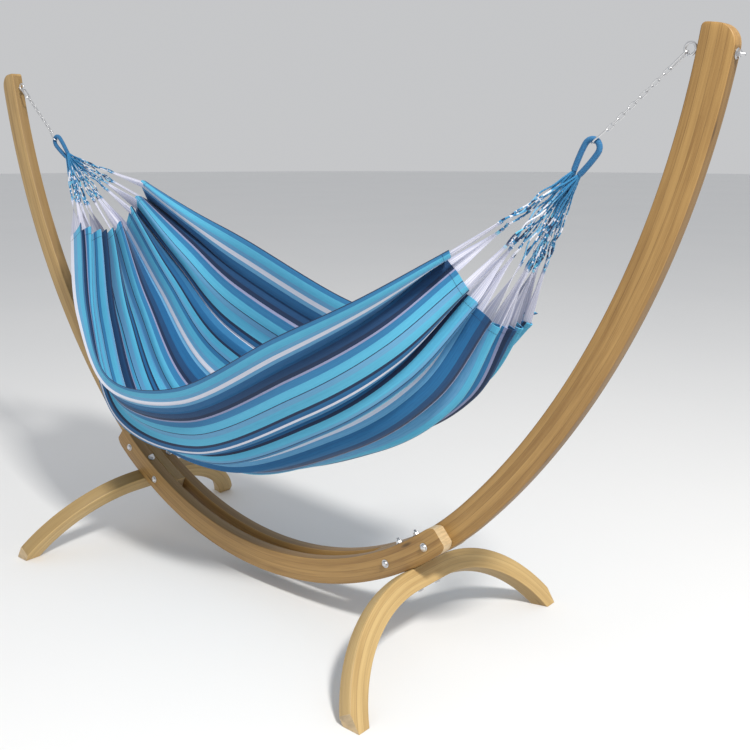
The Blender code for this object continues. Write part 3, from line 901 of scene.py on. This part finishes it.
plain = hanging_shape(np.linspace(0, 1, 101), np.linspace(0, 1, 51))
girths = lengths(plain, 1)
print("Hem to hem along the keel", lengths(plain, 0)[25].round(2), "m")
print("Girth at the hems and the middle", girths[[0, 50, 100]].round(2), "m")

# %% [markdown]
# ## Gathers
# The sheet is far wider than its hems, so it is gathered there into round pleats that fade
# towards the middle. They are worked out from waves, without a cloth simulation: a row of round
# ridges with narrow valleys. On the left they stand proud on the inside of the trough, and on the
# right on its outside. Low ripples cross the rest of the cloth.

# %% Gathers
CLOTH_WIDTH = 1.45
CLOTH_LENGTH = 2.35
PLEATS = 8
PLEAT_HEIGHT = 0.040
PLEAT_FADE = 0.95
RIPPLE_HEIGHT = 0.0065
STEPS_ALONG = 170
STEPS_ROUND = 320


def wave(cycles, place, shift=0.0):
    return np.sin(2 * np.pi * cycles * place + shift)


def pleat_place(around, shift):
    """Counts pleats round the cloth. The outer ones are wider, and none is quite like the next."""
    even = around - 0.045 * wave(1, around)
    uneven = 0.16 * wave(2.3, around, shift) + 0.10 * wave(5.1, around, 2 * shift)
    return PLEATS * even + uneven


def ridges(place, round_share=0.8):
    """From -1 in a narrow valley to 1 on a round ridge."""
    return 2 * np.abs(np.cos(np.pi * place)) ** round_share - 1.2


steps = np.linspace(0, 1, STEPS_ALONG)
alongs = 0.55 * steps + 0.45 * (0.5 - 0.5 * np.cos(np.pi * steps))
arounds = np.linspace(0, 1, STEPS_ROUND)
shape = hanging_shape(alongs, arounds)


def outward(points):
    """Unit normals of a grid of points, on the side that faces into the trough."""
    normal = np.cross(np.gradient(points, axis=0), np.gradient(points, axis=1))
    return normal / np.linalg.norm(normal, axis=2, keepdims=True)


from_left = (alongs * CLOTH_LENGTH)[:, None]
from_right = ((1 - alongs) * CLOTH_LENGTH)[:, None]
left_fade = np.exp(-((from_left / PLEAT_FADE) ** 1.4))
right_fade = np.exp(-((from_right / PLEAT_FADE) ** 1.4))
left_pleats = ridges(pleat_place(arounds, 0.4))[None, :]
right_pleats = ridges(pleat_place(arounds, 2.1))[None, :]
fine_ripples = wave(1, 11 * arounds[None, :] + 0.8 * alongs[:, None])
broad_ripples = wave(1, 2.7 * arounds[None, :] - 1.3 * alongs[:, None], 0.7)
lift = PLEAT_HEIGHT * (left_fade * left_pleats - right_fade * right_pleats)
lift = lift + RIPPLE_HEIGHT * (fine_ripples * broad_ripples)
cloth_points = shape + outward(shape) * lift[:, :, None]
print("Pleats lift the cloth by up to", round(float(abs(lift).max()) * 1000), "mm")

# %% [markdown]
# The hem isn't straight either: each ridge is drawn a little further towards the hook than the
# valley beside it, which gives the scalloped edge.

# %% Scalloped hems
SCALLOP = 0.014
SCALLOP_REACH = 0.10

hem_pull = np.exp(-from_left / SCALLOP_REACH) * left_pleats * -SCALLOP
hem_pull = hem_pull + np.exp(-from_right / SCALLOP_REACH) * right_pleats * SCALLOP
forward = np.gradient(shape, axis=0)
forward /= np.linalg.norm(forward, axis=2, keepdims=True)
cloth_points = cloth_points + forward * hem_pull[:, :, None]
print("Girth of the left hem once gathered", round(float(lengths(cloth_points, 1)[0]), 2), "m")

# %% [markdown]
# ## Striped cloth finish
# The stripes are in the warp, so they run from hem to hem, and they mirror about the middle of the
# sheet. A repeat is a list of widths in millimetres and yarn colours. Yarns differ slightly, which
# shows as fine streaks, and the bump is a plain weave with a heavier thread here and there.

# %% Striped cloth finish
NAVY = (0.006, 0.030, 0.095)
DEEP = (0.008, 0.070, 0.190)
AZURE = (0.010, 0.150, 0.345)
BLUE = (0.035, 0.230, 0.450)
SKY_BLUE = (0.150, 0.400, 0.620)
CYAN = (0.110, 0.480, 0.680)
WHITE = (0.700, 0.720, 0.800)
LAVENDER = (0.330, 0.360, 0.540)
STRIPES = (
    (3, NAVY),
    (14, BLUE),
    (26, CYAN),
    (16, SKY_BLUE),
    (17, WHITE),
    (14, SKY_BLUE),
    (34, AZURE),
    (24, DEEP),
    (16, NAVY),
    (8, LAVENDER),
    (26, BLUE),
    (30, CYAN),
    (3, NAVY),
    (22, SKY_BLUE),
    (34, CYAN),
    (12, NAVY),
    (16, AZURE),
    (9, WHITE),
    (20, BLUE),
    (26, AZURE),
    (10, NAVY),
    (24, CYAN),
    (12, SKY_BLUE),
)
HEM = 0.028
THREAD = 0.0022
STITCH = 0.007
STITCH_SHARE = 0.72
SEAM_HALF = 0.0012
SELVEDGE = 0.0025

repeat = sum(width for width, colour in STRIPES)
places = np.cumsum([0] + [width for width, colour in STRIPES[:-1]]) / repeat
stops = [(float(place), colour) for place, (width, colour) in zip(places, STRIPES)]

woven = Finish("striped_cloth", roughness=0.88, sheen_weight=0.12)
along, across, to_hem = woven.attribute("weave")
to_edge = across.apply("PINGPONG", CLOTH_WIDTH / 2)
stripe_place = (to_edge / (repeat / 1000)).apply("FRACT")
stripes = woven.node("ShaderNodeValToRGB", {"stops": ("CONSTANT", stops)}, (stripe_place,))
yarn = woven.noise(woven.point(along * 0.7, across * 620, 0.0), 1.0, 2.0, 0.7)
slub = woven.noise(woven.point(along * 30, across * 260, 3.0), 1.0, 2.0, 0.6)
wash = woven.noise(woven.point(along * 1.6, across * 7, 9.0), 1.0, 2.0)
deep = woven.mix(1.0, stripes, stripes, "MULTIPLY")
shade = woven.between(yarn * 0.6 + slub * 0.25 + wash * 0.35, 0.42, 0.85)
cloth_colour = woven.mix(0.12 + shade * 0.45, stripes, deep)
in_seam = (to_hem > HEM - SEAM_HALF) * (to_hem < HEM + SEAM_HALF)
dash = (across / STITCH).apply("FRACT") < STITCH_SHARE
cloth_colour = woven.mix(in_seam * dash * 0.85, cloth_colour, NAVY)
woven.set("Base Color", woven.mix((to_edge < SELVEDGE) * 0.7, cloth_colour, NAVY))
over = (across * (math.pi / THREAD)).apply("SINE")
under = (along * (math.pi / THREAD)).apply("SINE")
woven.bump(over * under * 0.5 + yarn * 0.8 + slub * 0.5 - in_seam * 1.2, 0.0005, 0.55)
print("A repeat of", len(STRIPES), "stripes is", repeat, "mm wide")

# %% [markdown]
# ## The cloth itself
# The grid of points becomes a thin closed sheet: one face towards the inside of the trough, one
# towards the outside, and a rim. It is twice as thick along the hems, where it is folded over.

# %% The cloth itself
CLOTH_THICKNESS = 0.0014

thickness = CLOTH_THICKNESS * (1 + 1.1 * ((from_left < HEM) | (from_right < HEM)).astype(float))
half = outward(cloth_points) * thickness[:, :, None] / 2
middle_steps = np.linalg.norm(np.diff(shape[:, STEPS_ROUND // 2], axis=0), axis=1)
along_middle = np.concatenate(([0], np.cumsum(middle_steps)))[:, None]
parts = (along_middle, CLOTH_WIDTH * arounds[None, :], np.minimum(from_left, from_right))
notes = np.stack(np.broadcast_arrays(*parts), axis=2)
body = Body()
upper, lower = cloth_points + half, cloth_points - half
rings = np.concatenate([upper, lower[:, ::-1]], axis=1)
body.add(rings, capped=False, notes=np.concatenate([notes, notes[:, ::-1]], axis=1))
for row in (0, STEPS_ALONG - 1):
    start = row * 2 * STEPS_ROUND
    for j in range(STEPS_ROUND - 1):
        far_corner = 2 * STEPS_ROUND - 1 - j
        body.faces.append((start + j, start + j + 1, start + far_corner - 1, start + far_corner))
cloth_mesh = body.mesh("hammock_cloth_woven", "weave")
cloth = finish_piece(cloth_mesh, woven, "hammock", "hammock_cloth", 80)
area = sum(face.area for face in cloth_mesh.polygons) / 2
print("The cloth has", round(area, 2), "square metres, and was cut to", round(CLOTH_WIDTH * CLOTH_LENGTH, 2))

# %% [markdown]
# ## Rope eyes
# At each end all the cords are drawn into a loop, and the loop is whipped: yarn is wound round it
# turn by turn, so that the hook can't chafe it. The turns are real ridges in the mesh.

# %% Whipping finish
WHIPPING_DARK = (0.006, 0.075, 0.21)
WHIPPING_LIGHT = (0.022, 0.20, 0.42)

whipping = Finish("whipped_yarn", roughness=0.7, sheen_weight=0.2)
turns_along, turns_round, turns_wide = whipping.attribute("grain")
turn_tone = whipping.noise(whipping.point(turns_along * 420, turns_round * 3, 0.0), 1.0, 2.0)
fibre = whipping.noise(whipping.point(turns_along * 1800, turns_round * 40, 5.0), 1.0, 2.0)
whipping.set("Base Color", whipping.mix(turn_tone * 0.7 + fibre * 0.3, WHIPPING_DARK, WHIPPING_LIGHT))
whipping.bump(fibre, 0.0003, 0.6)
print("Whipping ready")

# %% Rope eyes
LOOP_ROPE = 0.008
LOOP_BOW = 0.021
LOOP_LENGTH = 0.095
TURN_PITCH = 0.0026
TURN_RIDGE = 0.0009
RINGS_PER_TURN = 6
LOOP_SIDES = 20
LEG_STEPS = 12
BOW_STEPS = 16


def hem_middle(side):
    row = 0 if side < 0 else -1
    line = hanging_shape([0.0, 1.0], [0.25, 0.75])[row]
    return Vector(line.mean(axis=0))


def hang_direction(side):
    """The loop and the cords pull in line, from the hook to the middle of the hem."""
    start, along, length = suspension(side)
    return (hem_middle(side) - (start + along * length)).normalized()


def loop_path(side):
    """The loop's centre line, and the ends of its two legs."""
    start, along, length = suspension(side)
    tip = start + along * length
    down = hang_direction(side)
    aside = down.cross(ACROSS).normalized()
    legs = LOOP_LENGTH - LOOP_BOW
    shares = [1 - k / LEG_STEPS for k in range(LEG_STEPS)]
    widths = [LOOP_BOW - (LOOP_BOW - LOOP_ROPE - 0.0012) * share**1.5 for share in shares]
    leg = [(LOOP_BOW + legs * share, width) for share, width in zip(shares, widths)]
    turns = [math.pi * k / BOW_STEPS for k in range(BOW_STEPS + 1)]
    bow = [(LOOP_BOW * (1 - math.sin(turn)), LOOP_BOW * math.cos(turn)) for turn in turns]
    route = leg + bow + [(far, -width) for far, width in reversed(leg)]
    return [tip + down * far + aside * wide for far, wide in route]


def spaced(path, step):
    """The same path with its points an equal step apart."""
    path = np.array([tuple(point) for point in path])
    travelled = np.concatenate(([0], np.cumsum(np.linalg.norm(np.diff(path, axis=0), axis=1))))
    wanted = np.linspace(0, travelled[-1], max(2, round(travelled[-1] / step)))
    return np.stack([np.interp(wanted, travelled, path[:, k]) for k in range(3)], axis=1), wanted


def add_rope_eye(word, side):
    path, travelled = spaced(loop_path(side), TURN_PITCH / RINGS_PER_TURN)
    ridge = np.abs(np.sin(np.pi * travelled / TURN_PITCH))
    end = np.minimum(travelled, travelled[-1] - travelled)
    radii = (LOOP_ROPE - TURN_RIDGE + TURN_RIDGE * ridge) * np.clip(0.72 + end / 0.012, 0, 1)
    rings = wire_rings(path, list(radii), LOOP_SIDES, False, ACROSS)
    notes = [[(far, corner / LOOP_SIDES, 0.0) for corner in range(LOOP_SIDES)] for far in travelled]
    body = Body()
    body.add(rings, notes=notes)
    node = "rope_loop_" + word
    return finish_piece(body.mesh(node + "_whipped"), whipping, "hammock", node, 80)


for word, side in SIDES.items():
    eye = add_rope_eye(word, side)
    print(eye.name, len(eye.data.vertices), "points")

# %% [markdown]
# ## Suspension cords
# The warp yarns of the cloth run on past the hem. They leave it as flat pale bands, draw together,
# part into thin spun cords that cross each other like a net, and end in the legs of the rope eye.
# Near the eye the yarns are dyed azure, in the net they change colour every few centimetres.

# %% Cord finish
spun = Finish("spun_cord", roughness=0.85, sheen_weight=0.15)
share, tint, cord_side = spun.attribute("cord")
patch = spun.noise(spun.point(share * 7, tint * 57, 0.0), 1.0, 1.0)
net_stops = (
    (0.0, WHITE),
    (0.36, SKY_BLUE),
    (0.43, AZURE),
    (0.50, WHITE),
    (0.53, BLUE),
    (0.59, NAVY),
    (0.63, CYAN),
    (0.68, AZURE),
)
net = spun.node("ShaderNodeValToRGB", {"stops": ("CONSTANT", net_stops)}, (patch,))
band_yarn = spun.noise(spun.point(share * 2, tint * 31, cord_side * 900), 1.0, 2.0)
band = spun.mix(spun.between(band_yarn, 0.35, 0.7), (0.40, 0.42, 0.56), (0.72, 0.72, 0.80))
cord_colour = spun.mix(spun.between(share + patch * 0.16, 0.47, 0.52), band, net)
dyed = spun.mix(band_yarn, AZURE, BLUE)
spun.set("Base Color", spun.mix(spun.between(share + patch * 0.2, 0.86, 0.90), cord_colour, dyed))
spun.bump(band_yarn, 0.0004, 0.5)
print("Cord finish ready")

# %% [markdown]
# A band starts inside the folded hem and follows the cloth's own edge there, so it lies flat on
# its pleat. Its points close in on the middle one as it runs up, until it is as wide as three cords.

# %% Suspension cords
BANDS = 13
BAND_HALF_WIDTH = 0.021
BAND_END = 0.44
BAND_THICKNESS = 0.0012
BAND_LINES = 5
BAND_STEPS = 24
BAND_YARN_WIDTH = 0.012
CORDS_PER_BAND = 3
CORD_RADIUS = 0.0021
CORD_SIDES = 8
CORD_TWIST = 0.016
CORD_LOBE = 0.22
CORD_STEPS = 60
CORD_START = BAND_END - 0.03
CORD_WEAVE = 0.0028
CLUSTER_RADIUS = 0.0048
HEM_INSIDE = 3


def ease(value):
    value = np.clip(value, 0, 1)
    return value * value * (3 - 2 * value)


def leg_spot(side, number, count):
    """Where a cord enters the whipped legs: in two tight clusters, one to a leg."""
    path = loop_path(side)
    down = hang_direction(side)
    aside = down.cross(ACROSS).normalized()
    leg = path[0] if number % 2 == 0 else path[-1]
    turn = 2.4 * number
    spread = CLUSTER_RADIUS * math.sqrt((number // 2 + 0.5) / (count / 2))
    return leg - down * 0.004 + spread * (math.cos(turn) * aside + math.sin(turn) * ACROSS)


def band_lines(side, middle):
    """Five lines from the hem towards the rope eye, which close in on the middle one."""
    row = HEM_INSIDE if side < 0 else STEPS_ALONG - 1 - HEM_INSIDE
    neck = Vector(loop_path(side)[0] + loop_path(side)[-1]) / 2
    spots = np.clip(middle + np.linspace(-1, 1, BAND_LINES) * BAND_HALF_WIDTH, 0, 1)
    hem = [Vector(cloth_points[row, round(spot * (STEPS_ROUND - 1))]) for spot in spots]
    centre = sum(hem, Vector()) / BAND_LINES
    return hem, centre, neck


def add_band(body, lines, edge_way, normal, tint):
    """A flat band that closes in on its middle until it is as wide as three cords."""
    hem, centre, neck = lines
    closed_way = edge_way * CORD_RADIUS * 2.4
    sides = [(j - 2) / 2 * BAND_YARN_WIDTH for j in range(BAND_LINES)]
    rings, notes = [], []
    for k in range(BAND_STEPS + 1):
        share = BAND_END * k / BAND_STEPS
        closing = ease(share / BAND_END)
        spine = centre.lerp(neck, share)
        line = [spine + (point - centre) * (1 - closing) for point in hem]
        line = [point + closed_way * closing * (j - 2) / 2 for j, point in enumerate(line)]
        thick = normal * BAND_THICKNESS / 2 * (1 + closing)
        rings.append([point + thick for point in line] + [point - thick for point in reversed(line)])
        notes.append([(share, tint, wide) for wide in sides + sides[::-1]])
    body.add(rings, notes=notes)


def cord_path(base, spot, edge_way, normal, reach, phase):
    """A cord's centre line: it swings to both sides of a straight run and weaves over and under."""
    path = []
    for k in range(CORD_STEPS + 1):
        run = k / CORD_STEPS
        free = math.sin(math.pi * min(run * 1.15, 1.0)) ** 0.8 if run < 0.87 else 0.0
        swing = reach * (1 - run) * free * math.sin(2 * math.pi * 1.6 * run + phase)
        weave = CORD_WEAVE * free * math.cos(2 * math.pi * 3.0 * run + phase)
        path.append(base.lerp(spot, run) + edge_way * swing + normal * weave)
    return path


def twist(rings, path):
    """Presses two lobes into each ring, which turn along the cord as twisted yarns do."""
    travelled = 0.0
    for k, ring in enumerate(rings):
        travelled += (path[k] - path[k - 1]).length if k else 0.0
        spin = 2 * math.pi * travelled / CORD_TWIST
        for corner, point in enumerate(ring):
            lobe = 1 + CORD_LOBE * math.cos(2 * (2 * math.pi * corner / CORD_SIDES - spin))
            ring[corner] = path[k] + (point - path[k]) * lobe


def add_cords(word, side, seed):
    draw = random.Random(seed)
    body = Body()
    total = 0.0
    count = BANDS * CORDS_PER_BAND
    hem_row = cloth_points[0 if side < 0 else -1]
    hem_chord = Vector(hem_row[-1]) - Vector(hem_row[0])
    edge_way = hem_chord.normalized()
    spacing = 0.9 * edge_way.dot(hem_chord) / BANDS
    shares = [CORD_START + (1 - CORD_START) * k / CORD_STEPS for k in range(CORD_STEPS + 1)]
    for number in range(BANDS):
        lines = band_lines(side, 0.03 + 0.94 * number / (BANDS - 1))
        hem, centre, neck = lines
        tint = draw.random()
        normal = (neck - centre).normalized().cross(edge_way).normalized()
        add_band(body, lines, edge_way, normal, tint)
        for strand in range(CORDS_PER_BAND):
            spot = leg_spot(side, number * CORDS_PER_BAND + strand, count)
            phase = draw.uniform(0, 2 * math.pi)
            sway = draw.uniform(0.30, 0.55) * (1 if strand != 1 else -0.6)
            base = centre.lerp(neck, CORD_START) + edge_way * CORD_RADIUS * 2.0 * (strand - 1)
            path = cord_path(base, spot, edge_way, normal, sway * spacing, phase)
            total += sum((b - a).length for a, b in zip(path, path[1:]))
            rings = wire_rings(path, CORD_RADIUS, CORD_SIDES, False, normal)
            twist(rings, path)
            strand_tint = tint + strand * 0.31
            notes = [[(share, strand_tint, j * 0.0013) for j in range(CORD_SIDES)] for share in shares]
            body.add(rings, notes=notes)
    node = "suspension_cords_" + word
    mesh = body.mesh(node + "_spun", "cord")
    return finish_piece(mesh, spun, "hammock", node, 60), total / count


for word, side in SIDES.items():
    cords, mean = add_cords(word, side, 5 + side)
    print(cords.name, len(cords.data.vertices), "points, cords of", round(mean, 3), "m above their bands")

# %% [markdown]
# ## Done

# %% Done
print("Done")
